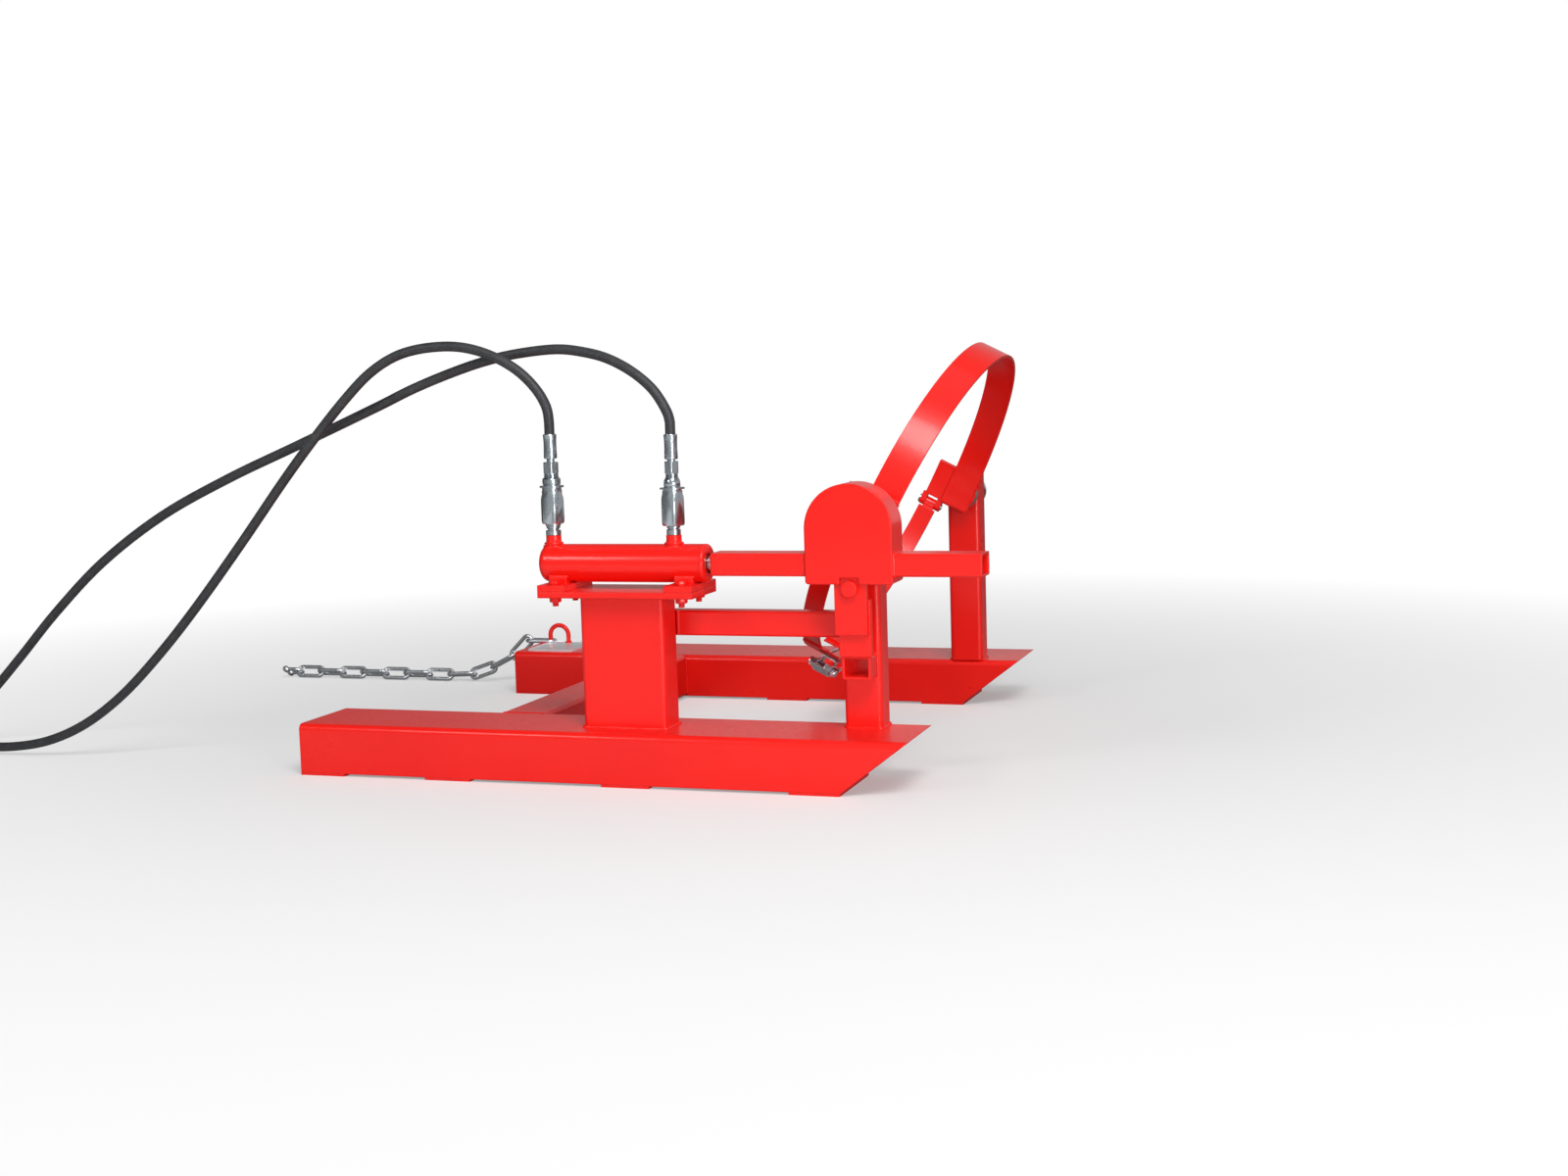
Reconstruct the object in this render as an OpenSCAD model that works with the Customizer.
// Drum tipper carried on the forks of a lift truck. A hydraulic cylinder pushes a
// rack, the rack turns a pinion, and the pinion turns the ring that holds the drum.
// Millimetres, Z up, X towards the pouring side, near side at -Y. It is drawn at the
// pouring angle, and its origin is at the middle of its base on the floor.

/* [Fork pockets] */
// Length of a fork pocket along its top
pocket_len = 1020; // [980:5:1120]
// Outer width of a fork pocket
pocket_w = 160; // [156:1:190]
// Height of a fork pocket above its runner straps
pocket_h = 80; // [70:1:95]
// Wall of a fork pocket
pocket_t = 6; // [4:0.5:8]
// Outer radius of the two bends along a pocket's top
pocket_r = 10; // [9:0.5:14]
// How far the nose is cut back at the bottom
nose_cut = 105; // [70:1:130]
// Width of a runner strap under a pocket
runner_w = 80; // [60:1:90]
// Thickness of a runner strap
runner_t = 4; // [3:0.5:8]
// Distance of the second runner strap from the rear end
runner_2 = 225; // [180:1:260]
// Distance of the third runner strap from the rear end
runner_3 = 530; // [460:1:600]

/* [Frame tubes] */
// Distance of the rear cross tube from the rear end
cross_x = 287; // [240:1:330]
// Width of the rear cross tube
cross_w = 80; // [60:1:100]
// Wall of the rear cross tube
cross_t = 5; // [3:0.5:6]
// Distance of the rear post from the rear end
rear_post_x = 483; // [470:1:500]
// Length of the rear post along the pocket
rear_post_l = 140; // [120:1:150]
// Depth of the rear post across the pocket
rear_post_d = 60; // [50:1:70]
// Wall of the rear post
rear_post_t = 5; // [3:0.5:6]
// Corner radius of the posts
post_r = 8; // [6.5:0.5:10]
// Width of a front post along the pocket
front_post_w = 60; // [56:1:72]
// Depth of a front post across the pocket
front_post_d = 50; // [40:1:54]
// Wall of a front post
front_post_t = 4; // [3:0.5:6]
// How far a front post reaches over the pivot
front_post_over = 37; // [32:1:44]
// Height of the strut between the posts
strut_h = 40; // [30:1:50]
// Depth of the strut
strut_d = 30; // [20:1:34]
// Wall of the strut
strut_t = 3; // [2:0.5:4]
// Height of the strut's underside over the floor
strut_z = 223; // [180:1:230]
// How far the strut laps the rear post
strut_lap = 60; // [40:1:80]

/* [Pivot and gears] */
// Distance of the ring's pivot from the rear end
pivot_x = 923; // [915:1:940]
// Height of the ring's pivot over the floor
pivot_z = 395; // [385:1:420]
// Diameter of the trunnion shafts
shaft_d = 40; // [32:1:44]
// Outer diameter of the bearing bushes
bush_d = 52; // [48:1:54]
// Running clearance of a shaft in its bush, radial
run_gap = 0.05; // [0.02:0.01:0.1]
// Module of the rack and pinion
gear_m = 4; // [3:0.25:4]
// Teeth of the pinion
pinion_teeth = 26; // [24:1:27]
// Teeth of the rack
rack_teeth = 18; // [17:1:18]
// Face width of the pinion
pinion_w = 40; // [30:1:41]
// Backlash between the pinion's and the rack's teeth
backlash = 0.35; // [0.2:0.05:0.6]

/* [Gear housing] */
// Outer radius of the housing's round top
housing_r = 68; // [66:0.5:72]
// Depth of the housing over its plates
housing_d = 60; // [58:1:70]
// Plates and wall of the housing
housing_t = 5; // [3:0.5:5]
// Height from the pivot to the housing's underside
housing_down = 83; // [80:1:88]
// Width of the notch in the cover
notch_w = 30; // [29:1:36]
// Height of the notch in the cover
notch_h = 10; // [8:0.5:10]
// Width of the rack's guide tube
guide_w = 50; // [46:1:50]
// Height of the rack's guide tube
guide_h = 35; // [34:0.5:38]
// Wall of the rack's guide tube
guide_t = 3; // [2:0.5:3.5]
// Length of the guide tube beyond the pivot
guide_front = 202; // [195:1:240]
// Gap between the cylinder and the guide tube, where the rod shows
rod_shows = 15; // [10:1:20]

/* [Cylinder] */
// Outer diameter of the cylinder's barrel
barrel_d = 60; // [56:1:66]
// Wall of the barrel
barrel_t = 4; // [3:0.5:6]
// Length of the barrel
barrel_l = 274; // [268:1:290]
// Thickness of the barrel's closed end
barrel_end = 12; // [10:0.5:14]
// Length of the gland in the barrel's open end
gland_l = 38; // [30:1:40]
// How far the gland's face lies inside the barrel's lip
gland_in = 4; // [2:0.5:6]
// Diameter of the piston rod
rod_d = 25; // [20:1:28]
// Thickness of the piston
piston_l = 30; // [26:1:32]
// Distance of the rear port from the barrel's closed end
port_rear = 18; // [18:0.5:24]
// Distance of the front port from the barrel's open end
port_front = 52.5; // [50:0.5:58]
// Diameter of a port boss
boss_d = 24; // [20:0.5:26]
// Height of a port boss over the barrel
boss_h = 14; // [12:0.5:18]
// Width of a foot bar along the cylinder
foot_w = 46; // [40:1:50]
// Thickness of the foot bars
foot_t = 10; // [8:0.5:14]
// Length of the foot bars and depth of the base plate
foot_l = 110; // [106:1:130]
// Thickness of the base plate
plate_t = 10; // [6:0.5:12]
// Nominal diameter of the foot bolts
bolt_d = 10; // [8:1:12]
// Distance between the two bolts of a foot
bolt_pitch = 76; // [76:1:84]

/* [Ring and jaws] */
// Inner radius of the ring
ring_r = 288; // [284:0.5:294]
// Thickness of the ring's band and straps
band_t = 5; // [4:0.5:8]
// Width of the rear band
band_w = 50; // [40:1:60]
// Width of a front strap
strap_w = 32; // [28:1:40]
// Thickness of the saddle plates
saddle_t = 10; // [8:0.5:14]
// Gap between a saddle plate and its front post
ring_gap = 21; // [17:0.5:40]
// Diameter of the jaws' hinge pins
hinge_d = 10; // [8:0.5:11]
// Outer diameter of the hinge knuckles
knuckle_d = 18; // [17:0.5:20]
// Angle between the front of the ring and the end of a strap
strap_end = 8; // [6:0.5:9]

/* [Latch] */
// Diameter of the latch's bail wire
bail_d = 6; // [5:0.25:6.5]
// Distance between the two legs of the bail
bail_w = 41; // [41:0.5:46]
// Diameter of the latch's pins
latch_pin_d = 8; // [6:0.5:9]
// Sheet thickness of the latch
latch_t = 2.5; // [1.5:0.25:2.5]
// Outer width of the latch lever
lever_w = 30; // [26:0.5:30]
// Width of the keeper
keeper_w = 24; // [16:0.5:24]

/* [Safety chain] */
// Diameter of the chain's wire
link_d = 8; // [6:0.25:8]
// Inner length of a chain link
link_pitch = 52; // [45:0.5:56]
// Outer width of a chain link
link_w = 28; // [27.5:0.25:32]
// Height of the chain eye over the pocket
eye_h = 41; // [38:1:50]
// Outer width of the chain eye
eye_w = 49; // [44:1:56]
// Diameter of the chain eye's bar
eye_d = 9; // [7:0.25:10]

/* [Hoses] */
// Outer diameter of a hose
hose_d = 16; // [12:0.5:18]
// Diameter of a hose ferrule
ferrule_d = 21.5; // [20:0.5:26]
// Sides of a hose's cross-section
hose_sides = 10; // [8:1:12]

/* [Hidden] */
cut = 1;            // overshoot of every cutting body
seat = 0.3;         // gap of pieces that rest on each other but move apart
red = [0.86, 0.11, 0.10];
steel = [0.72, 0.73, 0.75];
zinc = [0.80, 0.82, 0.84];
rubber = [0.09, 0.09, 0.10];

// The turned angle of the drawing: 0 is the upright drum
rest_turn = 117;

// Levels and places that follow from the sizes above
pocket_top = runner_t + pocket_h;
housing_y = 50;
gear_y = housing_y + housing_d / 2;
post_y = housing_y + housing_d;
ring_ro = ring_r + band_t;
saddle_r = ring_ro + saddle_t;
mid_y = post_y + front_post_d + ring_gap + saddle_r;
frame_w = 2 * mid_y;                              // over both fork pockets
pitch_r = gear_m * pinion_teeth / 2;
rack_line = pivot_z - pitch_r;
rack_clear = 0.5;
rack_low = 16.5;                                  // pitch line to the rack's underside
guide_z = rack_line - rack_low - rack_clear - guide_t;
rod_z = guide_z + guide_h / 2;
barrel_x = 413;
barrel_x1 = barrel_x + barrel_l;
guide_x = barrel_x1 + rod_shows;
guide_x1 = pivot_x + guide_front;
port_x = [barrel_x + port_rear, barrel_x + barrel_l - port_front];
foot_z = rod_z - barrel_d / 2 - foot_t;
plate_z = foot_z - plate_t;
foot_x = [barrel_x + 11, barrel_x + barrel_l - foot_w - 6];
post_top = pivot_z + front_post_over;
front_post_x = pivot_x - front_post_w / 2;

// Everything is drawn from the near pocket's rear corner and moved to the origin
module placed() translate([-guide_x1 / 2, -mid_y, 0]) children();
module on_far_side() translate([0, frame_w, 0]) mirror([0, 1, 0]) children();
// Local Z is the drum's axis, local X points to the near pivot, local Y to the front
module in_ring() placed() translate([pivot_x, mid_y, pivot_z])
    rotate([0, rest_turn, 0]) rotate([0, 0, -90]) children();
module in_ring_far() in_ring() mirror([1, 0, 0]) children();

// Boxes, tubes and bars that many pieces share
module bar(a, b) translate(a) cube(b - a);
module along_x(x0, x1) translate([x0, 0, 0]) rotate([90, 0, 90]) linear_extrude(x1 - x0) children();
module along_y(y0, y1) translate([0, y1, 0]) rotate([90, 0, 0]) linear_extrude(y1 - y0) children();
module rod_x(x0, x1, y, z, d, fn = 48)
    translate([x0, y, z]) rotate([0, 90, 0]) cylinder(h = x1 - x0, d = d, $fn = fn);
module rod_y(y0, y1, x, z, d, fn = 48)
    translate([x, y0, z]) rotate([-90, 0, 0]) cylinder(h = y1 - y0, d = d, $fn = fn);
module round_rect(a, b, r) {
    translate([r, r]) square([a - 2 * r, b - 2 * r]);
    translate([0, r]) square([a, b - 2 * r]);
    translate([r, 0]) square([a - 2 * r, b]);
    for (x = [r, a - r], y = [r, b - r]) translate([x, y]) circle(r = r, $fn = 32);
}
module tube_section(a, b, t, r) difference() {
    round_rect(a, b, r);
    translate([t, t]) round_rect(a - 2 * t, b - 2 * t, max(r - t, 1));
}
module arc_band(r0, r1, a0, a1, k0, k1)
    rotate([0, 0, a0]) rotate_extrude(angle = a1 - a0, $fn = 180)
        translate([r0, k0]) square([r1 - r0, k1 - k0]);

// Fork pockets: folded channels, open at both ends, with a slanted nose
module pocket_section() difference() {
    union() {
        square([pocket_w, pocket_h - pocket_r]);
        translate([pocket_r, 0]) square([pocket_w - 2 * pocket_r, pocket_h]);
        for (y = [pocket_r, pocket_w - pocket_r])
            translate([y, pocket_h - pocket_r]) circle(r = pocket_r, $fn = 48);
    }
    translate([pocket_t, -cut]) square([pocket_w - 2 * pocket_t, pocket_h - pocket_r + cut]);
    translate([pocket_r, -cut]) square([pocket_w - 2 * pocket_r, pocket_h - pocket_t + cut]);
    for (y = [pocket_r, pocket_w - pocket_r])
        translate([y, pocket_h - pocket_r]) circle(r = pocket_r - pocket_t, $fn = 48);
}
module fork_pocket() difference() {
    translate([0, 0, runner_t]) along_x(0, pocket_len) pocket_section();
    along_y(-cut, pocket_w + cut)
        polygon([[pocket_len - nose_cut, runner_t], [pocket_len, pocket_top],
            [pocket_len + nose_cut, pocket_top], [pocket_len + nose_cut, -cut],
            [pocket_len - nose_cut - cut * nose_cut / pocket_h, runner_t - cut]]);
}
module runner_straps()
    for (x = [0, runner_2, runner_3, pocket_len - nose_cut - runner_w])
        bar([x, 0, 0], [x + runner_w, pocket_w, runner_t]);
module near_fork_pocket() color(red) placed() fork_pocket();
module far_fork_pocket() color(red) placed() on_far_side() fork_pocket();
module near_runner_straps() color(red) placed() runner_straps();
module far_runner_straps() color(red) placed() on_far_side() runner_straps();

// Frame tubes
module rear_cross_tube() color(red) placed() translate([0, pocket_w, 0])
    translate([cross_x, 0, runner_t]) rotate([90, 0, 0]) mirror([0, 0, 1])
        linear_extrude(frame_w - 2 * pocket_w) tube_section(cross_w, pocket_h, cross_t, post_r);
module rear_post() color(red) placed()
    translate([rear_post_x, gear_y - rear_post_d / 2, pocket_top])
        linear_extrude(plate_z - pocket_top)
            tube_section(rear_post_l, rear_post_d, rear_post_t, post_r);
module cylinder_base_plate() color(red) placed() difference() {
    bar([foot_x[0], gear_y - foot_l / 2, plate_z],
        [foot_x[1] + foot_w, gear_y + foot_l / 2, foot_z]);
    bolt_holes();
}
module front_post() difference() {
    union() {
        translate([front_post_x, post_y, pocket_top]) linear_extrude(post_top - pocket_top)
            tube_section(front_post_w, front_post_d, front_post_t, post_r);
        translate([front_post_x, post_y, post_top - front_post_t])
            linear_extrude(front_post_t) round_rect(front_post_w, front_post_d, post_r);
    }
    rod_y(post_y - cut, post_y + front_post_d + cut, pivot_x, pivot_z, bush_d);
}
module near_front_post() color(red) placed() front_post();
module far_front_post() color(red) placed() on_far_side() front_post();
module post_strut() color(red) placed()
    translate([rear_post_x + rear_post_l - strut_lap, gear_y + rear_post_d / 2, strut_z])
        along_x(0, front_post_x - rear_post_x - rear_post_l + strut_lap)
            tube_section(strut_d, strut_h, strut_t, strut_t + 1);

// Bracket below the housing: a stub tube on the post, two plates and a bolt
lug_w = 50;
lug_t = 10;
lug_y = housing_y + housing_t + 1;
bolt_z = pivot_z - housing_down - 7;
stub_w = 45;
stub_h = 36;
stub_top = bolt_z - 104;
ear_w = 30;
ear_low = 17;
m16 = 16;
module bracket_stub_tube() color(red) placed() translate([pivot_x - 20, 0, stub_top - stub_h])
    along_y(lug_y + lug_t + 4, post_y) tube_section(stub_w, stub_h, 4, 5);
module bracket_plates() color(red) placed() difference() {
    union() {
        bar([pivot_x - lug_w / 2, lug_y, bolt_z - 70],
            [pivot_x + lug_w / 2, lug_y + lug_t, pivot_z - housing_down + notch_h]);
        bar([pivot_x - lug_w / 2 + 3, lug_y + lug_t, stub_top],
            [pivot_x + lug_w / 2 + 3, lug_y + 2 * lug_t, bolt_z - ear_low - seat]);
    }
    rod_y(lug_y - cut, lug_y + lug_t + cut, pivot_x, bolt_z, m16);
}
module bracket_bolt() color(red) placed() {
    rod_y(lug_y - 10, lug_y, pivot_x, bolt_z, 24 / cos(30), 6);
    rod_y(lug_y, lug_y + lug_t + 24, pivot_x, bolt_z, m16);
}

// Bearings of the ring
flange_t = 4;
module bush() translate([pivot_x, 0, pivot_z]) rotate([-90, 0, 0]) difference() {
    union() {
        translate([0, 0, post_y]) cylinder(h = front_post_d, d = bush_d, $fn = 96);
        translate([0, 0, post_y + front_post_d]) cylinder(h = flange_t, d = bush_d + 6, $fn = 96);
    }
    translate([0, 0, post_y - cut])
        cylinder(h = front_post_d + flange_t + 2 * cut, d = shaft_d + 2 * run_gap, $fn = 96);
}
module near_bearing_bush() color(steel) placed() bush();
module far_bearing_bush() color(steel) placed() on_far_side() bush();

// Gear housing: a D-shaped shell, its cover in front and the rack's tube through it
module d_outline(r, down, corner) {
    circle(r = r, $fn = 120);
    translate([-r, -down + corner]) square([2 * r, down - corner]);
    translate([-r + corner, -down]) square([2 * r - 2 * corner, down]);
    for (x = [-r + corner, r - corner])
        translate([x, -down + corner]) circle(r = corner, $fn = 32);
}
module housing_outline(inset = 0)
    translate([pivot_x, pivot_z])
        d_outline(housing_r - inset, housing_down - inset, inset == 0 ? housing_t : 1);
module gear_housing() color(red) placed() difference() {
    union() {
        along_y(housing_y + housing_t, post_y) housing_outline();
        bar([pivot_x - ear_w / 2, lug_y + lug_t, bolt_z - ear_low],
            [pivot_x + ear_w / 2, lug_y + lug_t + 24, pivot_z - housing_down + cut]);
    }
    along_y(housing_y + housing_t - cut, post_y - housing_t) housing_outline(housing_t);
    rod_y(post_y - housing_t - cut, post_y + cut, pivot_x, pivot_z, shaft_d + 2);
    rod_y(lug_y + lug_t - cut, lug_y + lug_t + 24 + cut, pivot_x, bolt_z, m16);
    bar([pivot_x - housing_r - cut, gear_y - guide_w / 2, guide_z],
        [pivot_x + housing_r + cut, gear_y + guide_w / 2, guide_z + guide_h]);
    bar([pivot_x - lug_w / 2, housing_y + housing_t - cut, pivot_z - housing_down - cut],
        [pivot_x + lug_w / 2, lug_y + lug_t, pivot_z - housing_down + notch_h]);
}
module housing_cover() color(red) placed() along_y(housing_y, housing_y + housing_t) difference() {
    housing_outline();
    translate([pivot_x - notch_w / 2, pivot_z - housing_down - cut])
        square([notch_w, notch_h + cut]);
}
slot_l = 2 * sqrt(pow(pitch_r + gear_m, 2) - pow(pivot_z - guide_z - guide_h, 2)) + 8;
module rack_guide_tube() color(red) placed() difference() {
    translate([0, gear_y - guide_w / 2, guide_z])
        along_x(guide_x, guide_x1) tube_section(guide_w, guide_h, guide_t, guide_t + 1);
    bar([pivot_x - slot_l / 2, gear_y - guide_w / 2 + guide_t, guide_z + guide_h - guide_t - cut],
        [pivot_x + slot_l / 2, gear_y + guide_w / 2 - guide_t, guide_z + guide_h + cut]);
}

// Rack and pinion
function inv_pt(rb, a) = rb * [cos(a) + a * PI / 180 * sin(a), sin(a) - a * PI / 180 * cos(a)];
function turned(p, a) = [p[0] * cos(a) - p[1] * sin(a), p[0] * sin(a) + p[1] * cos(a)];
base_r = pitch_r * cos(20);
root_r = pitch_r - 1.25 * gear_m;
tip_r = pitch_r + gear_m;
flank = [for (i = [0:5]) inv_pt(base_r, i / 5 * acos(base_r / tip_r) * 180 / PI
    * tan(acos(base_r / tip_r)) / acos(base_r / tip_r))];
half_tooth = 90 / pinion_teeth + (tan(20) - 20 * PI / 180) * 180 / PI
    - backlash / 2 / pitch_r * 180 / PI;
tooth = concat([turned([root_r, 0], -half_tooth)],
    [for (p = flank) turned(p, -half_tooth)],
    [for (i = [5:-1:0]) turned([flank[i][0], -flank[i][1]], half_tooth)],
    [turned([root_r, 0], half_tooth)]);
// A tooth gap of the pinion points straight down, at the middle of a rack tooth
module pinion() color(steel) placed()
    along_y(gear_y - pinion_w / 2, gear_y + pinion_w / 2) translate([pivot_x, pivot_z])
        difference() {
            rotate(-90 + 180 / pinion_teeth) polygon([for (i = [0:pinion_teeth - 1])
                for (p = tooth) turned(p, i * 360 / pinion_teeth)]);
            circle(d = shaft_d, $fn = 96);
        }
rack_pitch = PI * gear_m;
rack_bar_w = guide_w - 2 * guide_t - 2 * rack_clear;
rack_x = pivot_x - 11.5 * rack_pitch;
rack_x1 = pivot_x + (rack_teeth - 11) * rack_pitch - rack_pitch / 2 + 6;
rack_head = 18;
half_tip = rack_pitch / 4 - gear_m * tan(20);
half_root = rack_pitch / 4 + 1.25 * gear_m * tan(20);
rack_top = rack_line - rack_low + guide_h - 2 * guide_t - 2 * rack_clear;
module rack_bar() color(steel) placed()
    along_y(gear_y - rack_bar_w / 2, gear_y + rack_bar_w / 2)
        polygon(concat([[rack_x - rack_head, rack_line - rack_low], [rack_x - rack_head, rack_top],
                [rack_x - 5, rack_top], [rack_x, rack_top - 5],
                [rack_x, rack_line - 1.25 * gear_m]],
            [for (i = [0:rack_teeth - 1])
                let (x = pivot_x + (i - 11) * rack_pitch)
                each [[x - half_root, rack_line - 1.25 * gear_m],
                    [x - half_tip, rack_line + gear_m], [x + half_tip, rack_line + gear_m],
                    [x + half_root, rack_line - 1.25 * gear_m]]],
            [[rack_x1, rack_line - 1.25 * gear_m], [rack_x1, rack_line - rack_low]]));
piston_x = barrel_x + barrel_end + 59;
module piston_rod() color(zinc) placed()
    rod_x(piston_x + piston_l, rack_x - rack_head, gear_y, rod_z, rod_d, 64);
module piston() color(steel) placed() translate([piston_x, gear_y, rod_z]) rotate([0, 90, 0])
    rotate_extrude($fn = 96) difference() {
        square([barrel_d / 2 - barrel_t - run_gap, piston_l]);
        for (z = [piston_l / 5, piston_l * 3 / 5])
            translate([barrel_d / 2 - barrel_t - 2.5, z]) square([4, piston_l / 5]);
    }

// Cylinder: a barrel with rounded end and port bosses, its gland, feet and bolts
module barrel_profile() difference() {
    union() {
        translate([0, barrel_end]) square([barrel_d / 2, barrel_l - barrel_end]);
        square([barrel_d / 2 - barrel_end, barrel_l]);
        translate([barrel_d / 2 - barrel_end, barrel_end]) circle(r = barrel_end, $fn = 48);
    }
    translate([-barrel_end, -cut]) square([barrel_end, barrel_l + 2 * cut]);
}
module boss_profile() difference() {
    square([boss_d / 2 + 5, barrel_d / 2 + boss_h]);
    translate([boss_d / 2 + 6, barrel_d / 2 + 4]) circle(r = 6, $fn = 48);
    translate([boss_d / 2, barrel_d / 2 + 4]) square([12, boss_h]);
}
module cylinder_barrel() color(red) placed() difference() {
    union() {
        translate([barrel_x, gear_y, rod_z]) rotate([0, 90, 0])
            rotate_extrude($fn = 96) barrel_profile();
        for (x = port_x) translate([x, gear_y, rod_z])
            rotate_extrude($fn = 64) boss_profile();
    }
    rod_x(barrel_x + barrel_end, barrel_x1 + cut, gear_y, rod_z, barrel_d - 2 * barrel_t, 96);
    for (x = port_x) translate([x, gear_y, rod_z]) {
        cylinder(h = barrel_d / 2 + boss_h + cut, d = 8, $fn = 32);
        translate([0, 0, barrel_d / 2 + boss_h - 12]) cylinder(h = 12 + cut, d = 16.7, $fn = 48);
    }
}
gland_x = barrel_x1 - gland_in - gland_l;
module cylinder_gland() color(steel) placed() difference() {
    rod_x(gland_x, gland_x + gland_l, gear_y, rod_z, barrel_d - 2 * barrel_t, 96);
    rod_x(gland_x - cut, gland_x + gland_l + cut, gear_y, rod_z, rod_d + 2 * run_gap, 64);
    translate([gland_x + gland_l - 3, gear_y, rod_z]) rotate([0, 90, 0])
        cylinder(h = 3 + cut, d = rod_d + 8, $fn = 64);
}
module bolt_places() for (x = foot_x, s = [-1, 1])
    translate([x + foot_w / 2, gear_y + s * bolt_pitch / 2, 0]) children();
module bolt_holes() bolt_places()
    translate([0, 0, plate_z - cut]) cylinder(h = foot_t + plate_t + 2 * cut, d = bolt_d + 1, $fn = 32);
bolt_af = 1.7 * bolt_d;
bolt_head = 0.64 * bolt_d;
nut_h = 0.8 * bolt_d;
module cylinder_feet() color(red) placed() difference() {
    union() for (x = foot_x) {
        bar([x, gear_y - foot_l / 2, foot_z], [x + foot_w, gear_y + foot_l / 2, foot_z + foot_t]);
        bar([x + 8, gear_y - bolt_pitch / 2 + bolt_af * 0.62, foot_z + foot_t],
            [x + foot_w - 8, gear_y + bolt_pitch / 2 - bolt_af * 0.62, foot_z + foot_t + 11]);
    }
    rod_x(barrel_x - 10, barrel_x1 + 10, gear_y, rod_z, barrel_d, 96);
    bolt_holes();
}
module foot_bolts() color(red) placed() bolt_places() {
    translate([0, 0, foot_z + foot_t]) cylinder(h = bolt_head, d = bolt_af / cos(30), $fn = 6);
    translate([0, 0, plate_z - nut_h - 3])
        cylinder(h = foot_t + plate_t + nut_h + 3, d = bolt_d, $fn = 32);
}
module foot_nuts() color(red) placed() bolt_places() difference() {
    translate([0, 0, plate_z - nut_h]) cylinder(h = nut_h, d = bolt_af / cos(30), $fn = 6);
    translate([0, 0, plate_z - nut_h - cut]) cylinder(h = nut_h + 2 * cut, d = bolt_d, $fn = 32);
}

// Port valves and hose fittings, stacked upwards from a port boss
boss_top = rod_z + barrel_d / 2 + boss_h;
module stage_of(z, h, d) translate([0, 0, z]) cylinder(h = h, d = d, $fn = 48);
module hex_of(z, h, af, turn = 0) translate([0, 0, z]) intersection() {
    rotate([0, 0, turn]) cylinder(h = h, d = af / cos(30), $fn = 6);
    rotate_extrude($fn = 48) polygon([[0, 0], [af / 2 - 1, 0], [af / 2 / cos(30) + 1, 3.2],
        [af / 2 / cos(30) + 1, h - 3.2], [af / 2 - 1, h], [0, h]]);
}
module rear_port_valve() color(zinc) placed() translate([port_x[0], gear_y, boss_top]) {
    stage_of(-11, 12, 16.7);
    hex_of(0, 8, 24, 12);
    stage_of(8, 4, 18);
    stage_of(11, 8, 24.5);
    hex_of(18.5, 39.5, 34, 12);
    stage_of(58, 12.6, 31);
}
module rear_hose_fitting() color(zinc) placed() translate([port_x[0], gear_y, boss_top + 70.6]) {
    stage_of(0, 8.1, 38);
    translate([0, 0, 8.1]) cylinder(h = 19.1, d1 = 27, d2 = 24, $fn = 48);
    hex_of(27.2, 17.4, 23, 12);
    stage_of(44.6, 6, 11.4);
    ferrule(50.4, 38.3);
}
module front_port_valve() color(zinc) placed() translate([port_x[1], gear_y, boss_top]) {
    stage_of(-11, 12, 16.7);
    hex_of(0, 9, 22, 40);
    stage_of(8.5, 7, 18);
    hex_of(14.8, 52, 34, 20);
    stage_of(66, 2.8, 28);
}
module front_hose_fitting() color(zinc) placed() translate([port_x[1], gear_y, boss_top + 68.8]) {
    stage_of(0, 6.5, 39);
    translate([0, 0, 6.5]) cylinder(h = 13.5, d1 = 24, d2 = 20, $fn = 48);
    stage_of(19.5, 7.5, 17);
    hex_of(26.7, 18.5, 21, 30);
    stage_of(45, 3.6, 11.4);
    ferrule(48.4, 38.6);
}
module ferrule(z, h) translate([0, 0, z]) rotate_extrude($fn = 48)
    polygon(concat([[0, 0], [ferrule_d / 2 - 1.5, 0], [ferrule_d / 2, 2]],
        [for (i = [0:3]) each [[ferrule_d / 2, 5 + i * 7], [ferrule_d / 2 - 0.8, 6 + i * 7],
            [ferrule_d / 2 - 0.8, 9 + i * 7], [ferrule_d / 2, 10 + i * 7]]],
        [[ferrule_d / 2, h - 1], [ferrule_d / 2 - 1, h], [0, h]]));

// Hoses: the routes' own points, from the ferrule over the arch and down to the floor
rear_hose_z = boss_top + 70.6 + 88.7;
front_hose_z = boss_top + 68.8 + 87;
rear_end = [-740, 60, 14.3];
front_end = [-960, 150, 14.3];
rear_route = [[431, 80, 543.8], [431, 80, 562], [427, 80, 587], [411, 79, 615], [383, 78, 643],
    [347, 76, 665], [306, 74, 680], [264, 72, 686], [212, 70, 683], [167, 68, 671],
    [122, 66, 645], [76, 65, 604], [22, 64, 548], [-40, 62, 478], [-130, 61, 371],
    [-222, 60, 266], [-300, 60, 185], [-380, 60, 113], [-460, 60, 60], [-540, 60, 28],
    [-620, 60, 15], [-700, 60, 14.3], rear_end];
front_route = [[634.5, 80, 540.3], [634.5, 80, 558], [628, 81, 578], [607, 83, 609],
    [574, 87, 636], [534, 92, 657], [493, 97, 669], [440, 100, 676], [370, 102, 671],
    [309, 104, 660], [245, 105, 642], [178, 106, 619], [112, 107, 592], [-40, 108, 532],
    [-180, 112, 478], [-320, 118, 415], [-450, 124, 335], [-560, 131, 245],
    [-650, 137, 160], [-730, 142, 88], [-800, 146, 40], [-870, 149, 18],
    [-930, 150, 14.3], front_end];
function unit(v) = v / norm(v);
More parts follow.
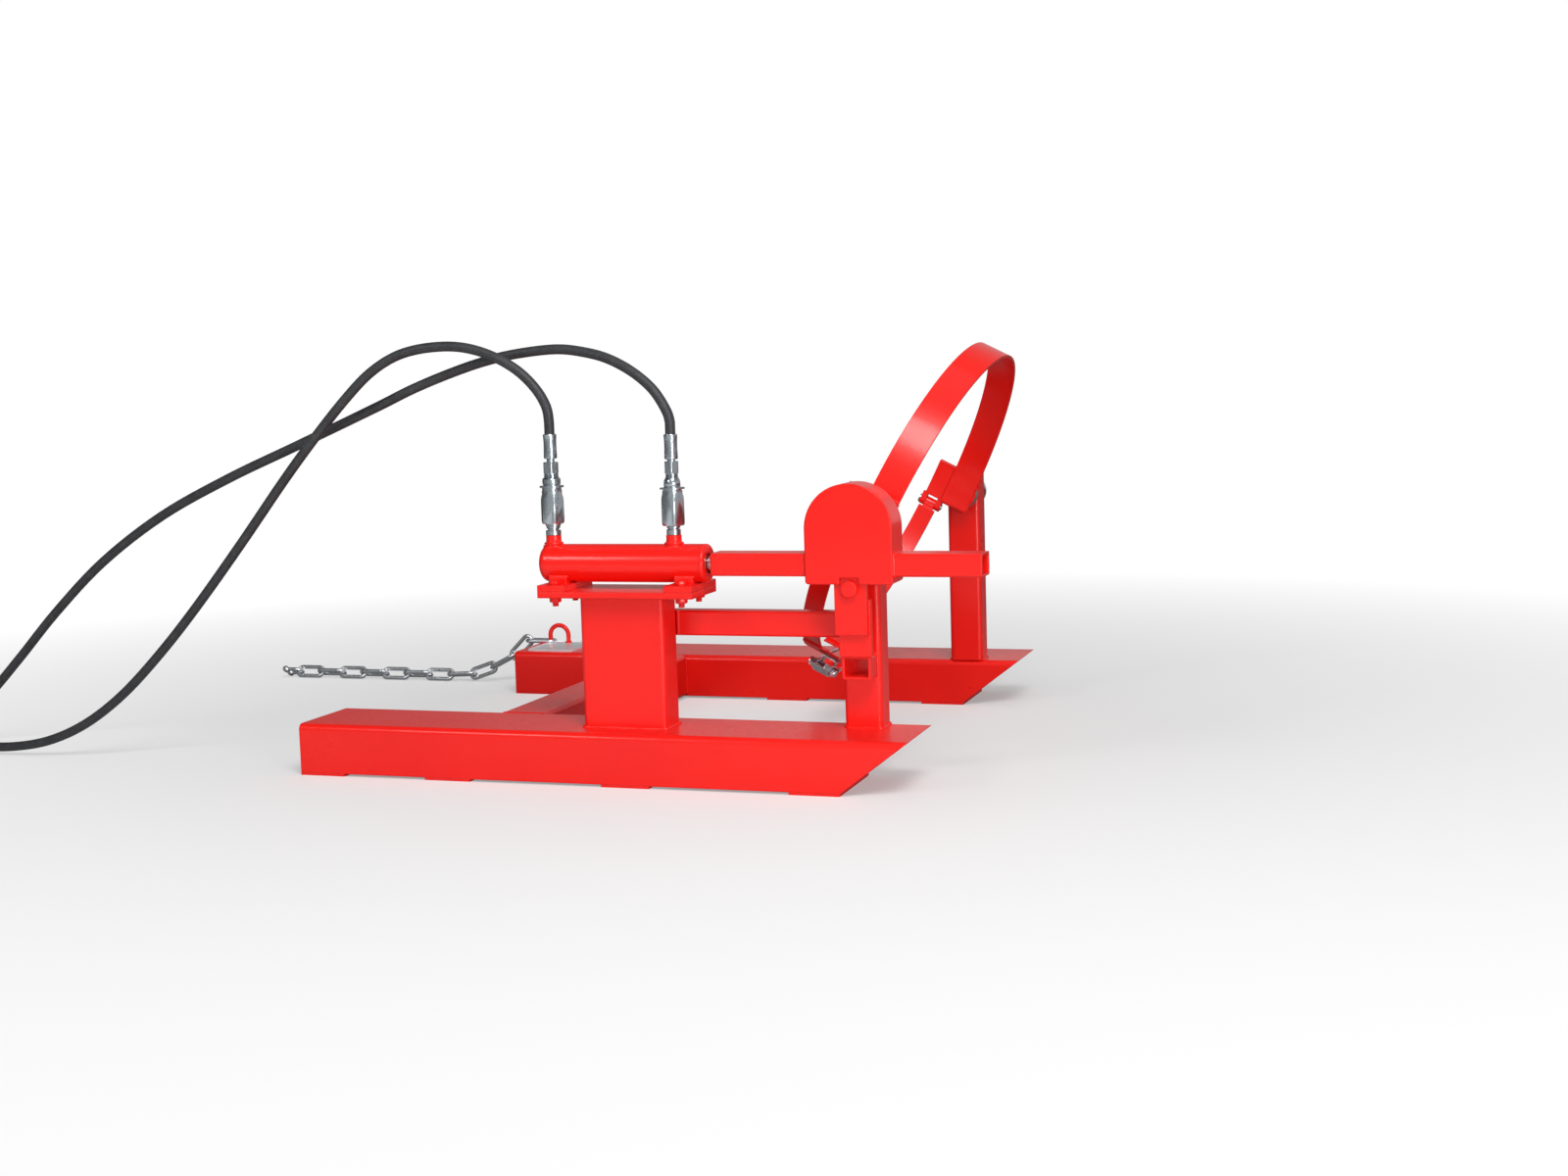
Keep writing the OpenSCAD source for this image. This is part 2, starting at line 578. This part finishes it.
function spline(a, b, c, d, t) = 0.5 * (2 * b + (c - a) * t + (2 * a - 5 * b + 4 * c - d) * t * t
    + (3 * b - a - 3 * c + d) * t * t * t);
// The first and last stretches stay straight; the others get a point halfway
function smooth(p) = let (n = len(p)) concat([p[0], p[1]],
    [for (i = [1:n - 3]) for (t = [0.5, 1]) spline(p[i - 1], p[i], p[i + 1], p[i + 2], t)],
    [p[n - 1]]);
function heading(p, i) = unit(p[min(i + 1, len(p) - 1)] - p[max(i - 1, 0)]);
function ring_at(c, dir, r, n) = let (s = unit(cross(dir, [0, 1, 0])), u = cross(s, dir))
    [for (j = [0:n - 1]) c + r * (cos(360 * j / n) * s + sin(360 * j / n) * u)];
module hose(route) {
    p = smooth(route);
    n = hose_sides;
    m = len(p);
    pts = [for (i = [0:m - 1]) each ring_at(p[i],
        i == 0 ? unit(p[1] - p[0]) : i == m - 1 ? unit(p[m - 1] - p[m - 2]) : heading(p, i),
        hose_d / 2, n)];
    polyhedron(pts, concat([[for (j = [n - 1:-1:0]) j]],
        [for (i = [0:m - 2]) for (j = [0:n - 1]) let (a = i * n + j, b = i * n + (j + 1) % n)
            each [[a, b, b + n], [a, b + n, a + n]]],
        [[for (j = [0:n - 1]) (m - 1) * n + j]]));
    echo("hose length", sum_len(p, 1), "rings", m);
}
function sum_len(p, i) = i >= len(p) ? 0 : norm(p[i] - p[i - 1]) + sum_len(p, i + 1);
module rear_hose() color(rubber) placed() translate([port_x[0] - 431, gear_y - 80, rear_hose_z - 543.8])
    hose(rear_route);
module front_hose() color(rubber) placed()
    translate([port_x[1] - 634.5, gear_y - 80, front_hose_z - 540.3]) hose(front_route);
module hose_coupling() rotate([0, -90, 0]) {
    ferrule(0, 38.3);
    stage_of(38, 6, 14);
    hex_of(43.3, 16, 24, 30);
    stage_of(59, 9, 20);
    stage_of(67.3, 20, 27);
    stage_of(87, 10.3, 23);
}
module rear_hose_coupling() color(zinc) placed()
    translate([port_x[0] - 431, gear_y - 80, rear_hose_z - 543.8]) translate(rear_end) hose_coupling();
module front_hose_coupling() color(zinc) placed()
    translate([port_x[1] - 634.5, gear_y - 80, front_hose_z - 540.3]) translate(front_end)
        hose_coupling();

// Safety chain: its eye on the far pocket, the links and the shackle
eye_x = 15;
eye_y = frame_w - 28;
eye_r = (eye_w - eye_d) / 2;
module chain_eye() color(red) placed() translate([eye_x + eye_w / 2, eye_y, pocket_top]) {
    translate([0, 0, eye_h - eye_d / 2 - eye_r]) rotate([90, 0, 0])
        rotate_extrude(angle = 180, $fn = 64) translate([eye_r, 0]) circle(d = eye_d, $fn = 32);
    for (s = [-1, 1]) translate([s * eye_r, 0, 0])
        cylinder(h = eye_h - eye_d / 2 - eye_r, d = eye_d, $fn = 32);
}
link_c = (link_w - link_d) / 2;
link_a = link_pitch / 2 + link_d / 2 - link_c;
module link() {
    for (s = [-1, 1]) {
        translate([-link_a, s * link_c, 0]) rotate([0, 90, 0])
            cylinder(h = 2 * link_a, d = link_d, $fn = 32);
        translate([s * link_a, 0, 0]) rotate([0, 0, -90 * s])
            rotate_extrude(angle = 180, $fn = 64) translate([link_c, 0]) circle(d = link_d, $fn = 32);
    }
}
// Drop and roll of every link, from the eye to the floor and along it
chain_drop = [0, 45, 27, 19, 3, 0, 0, 0, 0, 0, 0, 0];
chain_roll = [0, 89, -5, 74, 165, 60, 150, 60, 150, 60, 150, 60];
last_link = len(chain_drop) - 1;
function drop_dir(i) = [-cos(chain_drop[i]), 0, -sin(chain_drop[i])];
// A link's end bar lies inside its neighbour's end, in the bend of the one that stands
function to_joint(i) = link_pitch / 2 + link_d / 2 - (i % 2 == 0 ? 0 : link_d + seat);
function link_at(i) = i == 0 ? [eye_x + eye_d + seat - link_pitch / 2, eye_y,
        pocket_top + link_d / 2 + seat]
    : link_at(i - 1) + to_joint(i - 1) * drop_dir(i - 1) + to_joint(i) * drop_dir(i);
module safety_chain() color(zinc) placed() for (i = [0:last_link])
    translate(link_at(i)) rotate([0, -chain_drop[i], 0]) rotate([chain_roll[i], 0, 0]) link();
shackle_c = 10;
shackle_l = 20;
shackle_eye = 13;
module chain_shackle() color(zinc) placed()
    translate(link_at(last_link) - [link_pitch / 2 - link_d / 2 - seat + shackle_c, 0, 0])
        rotate([chain_roll[last_link] + 90, 0, 0]) {
            rotate([0, 0, -90]) rotate_extrude(angle = 180, $fn = 64)
                translate([shackle_c, 0]) circle(d = link_d, $fn = 32);
            for (s = [-1, 1]) {
                rod_x(-shackle_l, 0, s * shackle_c, 0, link_d, 32);
                rod_y(s * shackle_c - link_d / 2, s * shackle_c + link_d / 2,
                    -shackle_l - shackle_eye / 4, 0, shackle_eye);
            }
            rod_y(-shackle_c - link_d / 2 - 0.5, shackle_c + link_d / 2 + 5,
                -shackle_l - shackle_eye / 4, 0, 7, 32);
        }

// Ring: a band behind the drum, and beside it a saddle plate at each pivot
band_k = band_w / 2;
strap_k1 = -band_k - 1;
strap_k0 = strap_k1 - strap_w;
saddle_a = [-8, 5];
hinge_a = 7.5;
hinge_r = ring_ro + knuckle_d / 2;
knuckle_l = 10;
module at_hinge(k0) rotate([0, 0, hinge_a]) translate([hinge_r, 0, k0]) children();
module ring_band() color(red) in_ring()
    arc_band(ring_r, ring_ro, -180 - saddle_a[1], saddle_a[1], -band_k, band_k);
saddle_knuckles = [strap_k0 - 4, strap_k1 + 4 - knuckle_l];
module saddle() difference() {
    union() {
        arc_band(ring_ro, saddle_r, saddle_a[0], saddle_a[1], strap_k0, band_k);
        for (k = saddle_knuckles) at_hinge(k) {
            cylinder(h = knuckle_l, d = knuckle_d, $fn = 64);
            translate([-knuckle_d / 2, -16, 0]) cube([saddle_t, 16, knuckle_l]);
        }
    }
    at_hinge(strap_k0 - 4 - cut)
        cylinder(h = strap_w + 8 + 2 * cut, d = hinge_d, $fn = 64);
}
module near_saddle() color(red) in_ring() saddle();
module far_saddle() color(red) in_ring_far() saddle();
module hinge_pin() at_hinge(strap_k0 - 4) {
    translate([0, 0, -3]) cylinder(h = 3, d = knuckle_d - 3, $fn = 48);
    cylinder(h = strap_w + 10, d = hinge_d, $fn = 64);
}
module near_hinge_pin() color(zinc) in_ring() hinge_pin();
module far_hinge_pin() color(zinc) in_ring_far() hinge_pin();

// Trunnions: the near shaft carries the pinion, the far one a set collar
module trunnion(y0) difference() {
    union() {
        rod_y(y0, mid_y - ring_ro, pivot_x, pivot_z, shaft_d, 96);
        rod_y(post_y + front_post_d + flange_t + 0.5, mid_y - ring_ro, pivot_x, pivot_z, bush_d, 96);
    }
    translate([pivot_x, mid_y, pivot_z]) rotate([0, rest_turn, 0])
        cylinder(h = 4 * bush_d, r = saddle_r, center = true, $fn = 180);
}
collar_w = 12;
module trunnion_shaft() color(steel) placed() trunnion(gear_y - pinion_w / 2 - 3);
module far_trunnion() color(steel) placed() on_far_side() trunnion(post_y - collar_w - 3);
module far_shaft_collar() color(zinc) placed() on_far_side() difference() {
    rod_y(post_y - 0.5 - collar_w, post_y - 0.5, pivot_x, pivot_z, shaft_d + 20, 96);
    rod_y(post_y - 1.5 - collar_w, post_y + 0.5, pivot_x, pivot_z, shaft_d, 96);
}

// Jaws: straps on hinges, with a plate at the end for the latch
jaw_k = [strap_k0 - 4 + knuckle_l + seat, strap_k1 + 4 - knuckle_l - seat];
module jaw() difference() {
    union() {
        arc_band(ring_r, ring_ro, hinge_a + 2, 90 - strap_end, strap_k0, strap_k1);
        at_hinge(jaw_k[0]) {
            cylinder(h = jaw_k[1] - jaw_k[0], d = knuckle_d, $fn = 64);
            translate([-knuckle_d / 2 - 1, 2, 0])
                cube([knuckle_d / 2 + 1, 16, jaw_k[1] - jaw_k[0]]);
        }
    }
    at_hinge(strap_k0 - cut)
        cylinder(h = strap_w + 2 * cut, d = hinge_d + 2 * run_gap, $fn = 64);
}
module near_strap() color(red) in_ring() jaw();
module far_strap() color(red) in_ring_far() jaw();
latch_plate = 3;
latch_plate_w = 70;
latch_plate_a = 26;
latch_ro = ring_ro + latch_plate;
module latch_plate() arc_band(ring_ro, latch_ro, 90 - latch_plate_a, 90 - strap_end + 2,
    strap_k0, strap_k0 + latch_plate_w);

// Toggle latch, drawn along the ring's tangent at the front: t to the far side, r outwards
latch_k = strap_k0 + 44;
pin_t = -62;
pin_r = ring_ro + 14;
arm = 24;
over = 4;
wire_t = pin_t - arm;
wire_r = pin_r - over;
loop_t = 66;
loop_gap = 0.4;
cheek_k = lever_w / 2 - latch_t;
block_k = bail_w / 2 + bail_d / 2 + 1.5;
block_l = 2 * bail_d;
module in_tr(pts, k0, k1)
    translate([0, 0, latch_k + k0]) linear_extrude(k1 - k0) polygon([for (p = pts) [-p[0], p[1]]]);
module pin_tr(t, r, k0, k1, d) translate([-t, r, latch_k + k0])
    cylinder(h = k1 - k0, d = d, $fn = 48);
module latch_base() color(red) in_ring() {
    latch_plate();
    difference() {
        for (k = [-cheek_k + 0.5, cheek_k - 3.5]) {
            in_tr([[pin_t - 16, pin_r - 32], [pin_t + 16, pin_r - 32],
                [pin_t + latch_pin_d, pin_r], [pin_t - latch_pin_d, pin_r]], k, k + 3);
            pin_tr(pin_t, pin_r, k, k + 3, 2 * latch_pin_d);
        }
        plate_space();
        pin_tr(pin_t, pin_r, -lever_w, lever_w, latch_pin_d);
    }
}
module plate_space() cylinder(h = 8 * band_w, r = latch_ro - 1, center = true, $fn = 180);
module latch_pin() color(zinc) in_ring()
    pin_tr(pin_t, pin_r, -lever_w / 2 - 0.4, lever_w / 2 + 0.4, latch_pin_d);
lever_top = pin_r + latch_pin_d / 2 + latch_t + 0.5;
lever_line = [[pin_t - latch_pin_d - 3, lever_top], [wire_t - 4, lever_top], [-142, lever_top - 25],
    [-152, lever_top - 26]];
lever_edge = [for (i = [3:-1:0]) lever_line[i] - [i > 1 ? latch_t / 2 : 0, latch_t]];
module latch_lever() color(zinc) in_ring() difference() {
    union() {
        in_tr(concat(lever_line, lever_edge), -lever_w / 2, lever_w / 2);
        for (k = [-lever_w / 2, cheek_k])
            in_tr(concat([[pin_t + latch_pin_d - 1, pin_r - 5], [pin_t + latch_pin_d - 1, pin_r + 5],
                [pin_t + 3, lever_top]], [for (p = lever_line) p],
                [[-150, lever_top - 30], [-140, lever_top - 34], [wire_t - 8, wire_r - 8],
                [pin_t, pin_r - latch_pin_d]]), k, k + latch_t);
    }
    pin_tr(pin_t, pin_r, -lever_w, lever_w, latch_pin_d + 2 * run_gap);
    pin_tr(wire_t, wire_r, -lever_w, lever_w, latch_pin_d + 2 * run_gap);
}
module leg_line(t0, t1, d, fn = 32) for (s = [-1, 1])
    translate([-t0, wire_r, latch_k + s * bail_w / 2]) rotate([0, -90, 0])
        rotate([0, 0, fn == 6 ? 30 : 0]) cylinder(h = t1 - t0, d = d, $fn = fn);
bend = 8;
module latch_bail() color(zinc) in_ring() {
    leg_line(wire_t - block_l / 2 - 12, loop_t - bend, bail_d);
    for (s = [-1, 1]) translate([-loop_t + bend, wire_r, latch_k + s * (bail_w / 2 - bend)])
        rotate([90, 0, 0]) rotate([0, 0, s > 0 ? 90 : 180]) rotate_extrude(angle = 90, $fn = 64)
            translate([bend, 0]) circle(d = bail_d, $fn = 32);
    pin_tr(loop_t, wire_r, -bail_w / 2 + bend, bail_w / 2 - bend, bail_d);
}
module bail_trunnion() color(zinc) in_ring() difference() {
    union() {
        pin_tr(wire_t, wire_r, -block_k, block_k, latch_pin_d);
        for (k = [-block_k, lever_w / 2 + 0.4])
            translate([-wire_t - block_l / 2, wire_r - block_l / 2, latch_k + k])
                cube([block_l, block_l, block_k - lever_w / 2 - 0.4]);
    }
    leg_line(wire_t - block_l, wire_t + block_l, bail_d);
}
module bail_nuts() color(zinc) in_ring() difference() {
    leg_line(wire_t - block_l / 2 - 5, wire_t - block_l / 2, 10 / cos(30), 6);
    leg_line(wire_t - block_l, wire_t, bail_d);
}
module latch_keeper() color(red) {
    in_ring_far() latch_plate();
    in_ring() difference() {
        in_tr([[loop_t - 22, wire_r - 25], [loop_t - 22, wire_r - 3], [loop_t - 16, wire_r + 4.5],
            [loop_t - bail_d / 2 - loop_gap, wire_r + 4.5],
            [loop_t - bail_d / 2 - loop_gap, wire_r - 25]], -keeper_w / 2, keeper_w / 2);
        plate_space();
    }
}

near_fork_pocket();
far_fork_pocket();
near_runner_straps();
far_runner_straps();
rear_cross_tube();
rear_post();
cylinder_base_plate();
near_front_post();
far_front_post();
post_strut();
bracket_stub_tube();
bracket_plates();
bracket_bolt();
near_bearing_bush();
far_bearing_bush();
chain_eye();
gear_housing();
housing_cover();
rack_guide_tube();
cylinder_feet();
foot_bolts();
foot_nuts();
cylinder_barrel();
cylinder_gland();
rear_port_valve();
front_port_valve();
rear_hose_fitting();
front_hose_fitting();
rear_hose();
front_hose();
rear_hose_coupling();
front_hose_coupling();
safety_chain();
chain_shackle();
piston();
piston_rod();
rack_bar();
pinion();
trunnion_shaft();
ring_band();
near_saddle();
far_saddle();
far_trunnion();
far_shaft_collar();
near_hinge_pin();
far_hinge_pin();
near_strap();
latch_base();
latch_pin();
far_strap();
latch_keeper();
latch_lever();
latch_bail();
bail_trunnion();
bail_nuts();
